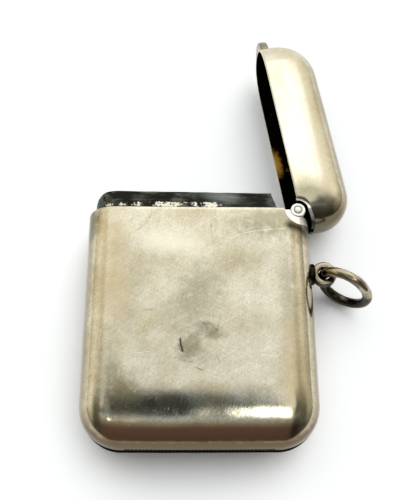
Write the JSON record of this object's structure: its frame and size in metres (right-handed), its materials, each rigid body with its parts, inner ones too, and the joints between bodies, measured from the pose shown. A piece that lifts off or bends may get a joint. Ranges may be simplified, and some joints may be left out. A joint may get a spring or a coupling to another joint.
{
  "type": "vesta case",
  "caption": "Slim rounded silver match case with a side-hinged lid, a lined mouth, a ribbed striker on the base and a hanging ring for a watch chain.",
  "frame": {"origin": "centre of the body's flat back face, on the table it lies on", "axes": "+X across the case to the hinge and ring side, +Y up the case to the lid, +Z out of the front face"},
  "size_m": [0.0457, 0.0728, 0.011],
  "materials": {
    "worn_silver": "hand-worn sterling silver sheet, satin with fine scratches and light warm tarnish",
    "hinge_silver": "bright filed silver",
    "tarnished_silver": "blackened silver strip with flecks of old gilding",
    "striker_silver": "ribbed silver, dirt in the grooves",
    "dark_silver": "brown-toned tarnished silver wire, rubbed bright on its high side",
    "spring_steel": "blued spring steel leaf"
  },
  "bodies": {
    "case": {"body_front_shell": "worn_silver", "body_back_shell": "worn_silver", "mouth_collar": "tarnished_silver", "striker_plate": "striker_silver", "body_hinge_bearer": "hinge_silver", "body_knuckle_front": "hinge_silver", "body_knuckle_back": "hinge_silver", "hinge_pin": "hinge_silver", "lid_spring": "spring_steel", "eye_pad": "dark_silver", "suspension_eye": "dark_silver"},
    "lid": {"lid_front_shell": "worn_silver", "lid_back_shell": "worn_silver", "lid_hinge_bearer": "hinge_silver", "lid_knuckle": "hinge_silver", "thumb_piece": "worn_silver"},
    "ring": {"hanging_ring": "dark_silver"}
  },
  "joints": [
    {"name": "lid_hinge", "type": "hinge", "parent": "case", "child": "lid", "pos_m": [0.0159, 0.01865, 0.0055], "axis": [0, 0, 1], "range_deg": [-2, 81]},
    {"name": "ring_swing", "type": "hinge", "parent": "case", "child": "ring", "pos_m": [0.0202, 0.00915, 0.0055], "axis": [0, 0, 1], "range_deg": [-66, 75]}
  ]
}
